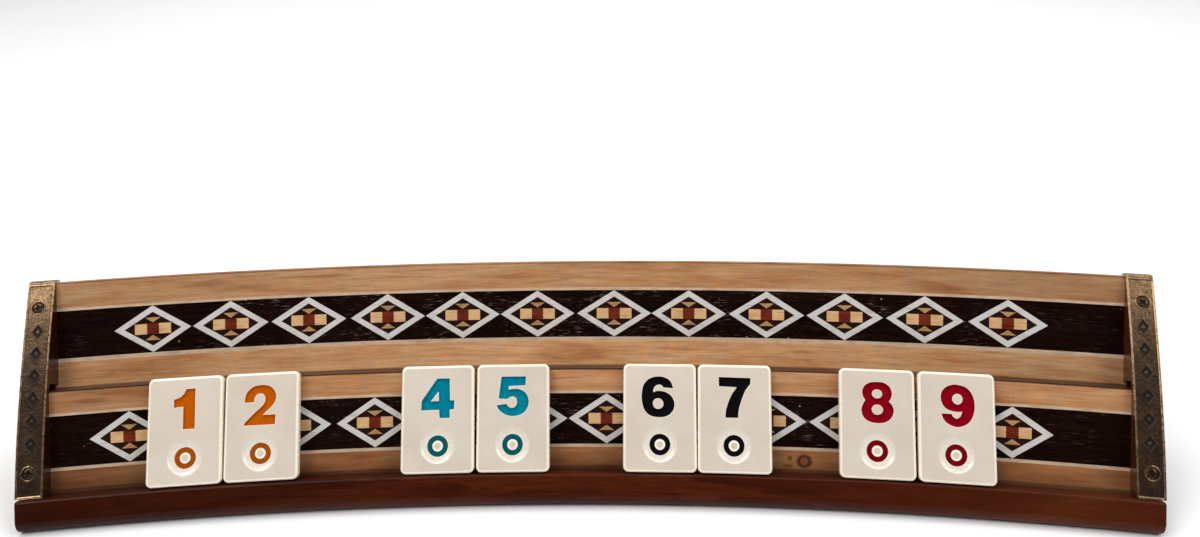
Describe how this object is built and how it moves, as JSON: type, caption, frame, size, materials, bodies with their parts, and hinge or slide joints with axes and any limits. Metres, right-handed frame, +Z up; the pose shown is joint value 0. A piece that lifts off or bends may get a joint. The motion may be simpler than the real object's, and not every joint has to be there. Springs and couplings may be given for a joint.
{
  "type": "rummy tile case",
  "caption": "Curved wooden rummy tile case: a sloping two-step rack with marquetry bands, brass-capped end cheeks, loose number tiles, and a storage hollow with a sliding lid underneath.",
  "frame": {"origin": "centre of the bounding box in plan, on the rest face", "axes": "+X along the rack to the right as seen from the tile side, +Y from the tile side to the back, +Z up"},
  "size_m": [0.4382, 0.0808, 0.0771],
  "materials": {
    "lacquered_wood": "red-brown stain under gloss lacquer",
    "light_wood": "light wood with fine grain, satin lacquer",
    "dark_veneer": "very dark brown veneer, satin lacquer",
    "stringing": "pale stringing, satin lacquer",
    "silver_veneer": "bleached silver-white veneer, satin lacquer",
    "field_veneer": "dark brown veneer, satin lacquer",
    "cream_veneer": "cream veneer, satin lacquer",
    "red_veneer": "red-brown veneer, satin lacquer",
    "tan_veneer": "tan veneer, satin lacquer",
    "brown_veneer": "mid-brown veneer, satin lacquer",
    "line_veneer": "pale line veneer, satin lacquer",
    "burl": "burl veneer with dark eyes, gloss lacquer",
    "base_wood": "red-brown stain, satin",
    "antique_brass": "cast, pebbled and darkened, worn bright at the edges",
    "screw_brass": "darkened cross-head screw",
    "tile_ivory": "ivory melamine with sunken coloured numerals"
  },
  "bodies": {
    "rack": {"back_board": "lacquered_wood", "bottom_board": "base_wood", "burl_panel": "burl", "end_board_left": "lacquered_wood", "end_board_right": "lacquered_wood", "end_stop_left": "antique_brass", "end_stop_right": "antique_brass", "front_ledge": "lacquered_wood", "kite_left_brown": "brown_veneer", "kite_left_ground": "field_veneer", "kite_left_lines": "line_veneer", "kite_left_tan": "tan_veneer", "kite_left_white": "silver_veneer", "kite_right_brown": "brown_veneer", "kite_right_ground": "field_veneer", "kite_right_lines": "line_veneer", "kite_right_tan": "tan_veneer", "kite_right_white": "silver_veneer", "lower_band_veneer": "dark_veneer", "lower_cream_squares": "cream_veneer", "lower_diamond_fields": "field_veneer", "lower_diamond_frames": "silver_veneer", "lower_red_squares": "red_veneer", "lower_rest": "light_wood", "lower_stringing": "stringing", "lower_tan_triangles": "tan_veneer", "star_border": "line_veneer", "star_eye": "tan_veneer", "star_ground": "field_veneer", "star_rays": "silver_veneer", "stop_screws_left": "screw_brass", "stop_screws_right": "screw_brass", "upper_band_veneer": "dark_veneer", "upper_cream_squares": "cream_veneer", "upper_diamond_fields": "field_veneer", "upper_diamond_frames": "silver_veneer", "upper_red_squares": "red_veneer", "upper_rest": "light_wood", "upper_stringing": "stringing", "upper_tan_triangles": "tan_veneer"},
    "lid": {"sliding_lid": "base_wood"},
    "tile_1_loose": {"tile_1": "tile_ivory"},
    "tile_2_loose": {"tile_2": "tile_ivory"},
    "tile_4_loose": {"tile_4": "tile_ivory"},
    "tile_5_loose": {"tile_5": "tile_ivory"},
    "tile_6_loose": {"tile_6": "tile_ivory"},
    "tile_7_loose": {"tile_7": "tile_ivory"},
    "tile_8_loose": {"tile_8": "tile_ivory"},
    "tile_9_loose": {"tile_9": "tile_ivory"}
  },
  "joints": [
    {"name": "lid_arc_slide", "type": "hinge", "parent": "rack", "child": "lid", "pos_m": [0, -1.37555, 0], "axis": [0, 0, 1], "range_deg": [0, 17.5]},
    {"name": "tile_1_lift", "type": "slide", "parent": "rack", "child": "tile_1_loose", "axis": [-0.0483, 0.4357, 0.8988], "range_m": [0, 0.085]},
    {"name": "tile_2_lift", "type": "slide", "parent": "rack", "child": "tile_2_loose", "axis": [-0.0392, 0.4366, 0.8988], "range_m": [0, 0.085]},
    {"name": "tile_4_lift", "type": "slide", "parent": "rack", "child": "tile_4_loose", "axis": [-0.0178, 0.438, 0.8988], "range_m": [0, 0.085]},
    {"name": "tile_5_lift", "type": "slide", "parent": "rack", "child": "tile_5_loose", "axis": [-0.0085, 0.4383, 0.8988], "range_m": [0, 0.085]},
    {"name": "tile_6_lift", "type": "slide", "parent": "rack", "child": "tile_6_loose", "axis": [0.0095, 0.4383, 0.8988], "range_m": [0, 0.085]},
    {"name": "tile_7_lift", "type": "slide", "parent": "rack", "child": "tile_7_loose", "axis": [0.0186, 0.438, 0.8988], "range_m": [0, 0.085]},
    {"name": "tile_8_lift", "type": "slide", "parent": "rack", "child": "tile_8_loose", "axis": [0.0356, 0.4369, 0.8988], "range_m": [0, 0.085]},
    {"name": "tile_9_lift", "type": "slide", "parent": "rack", "child": "tile_9_loose", "axis": [0.0448, 0.4361, 0.8988], "range_m": [0, 0.085]}
  ]
}
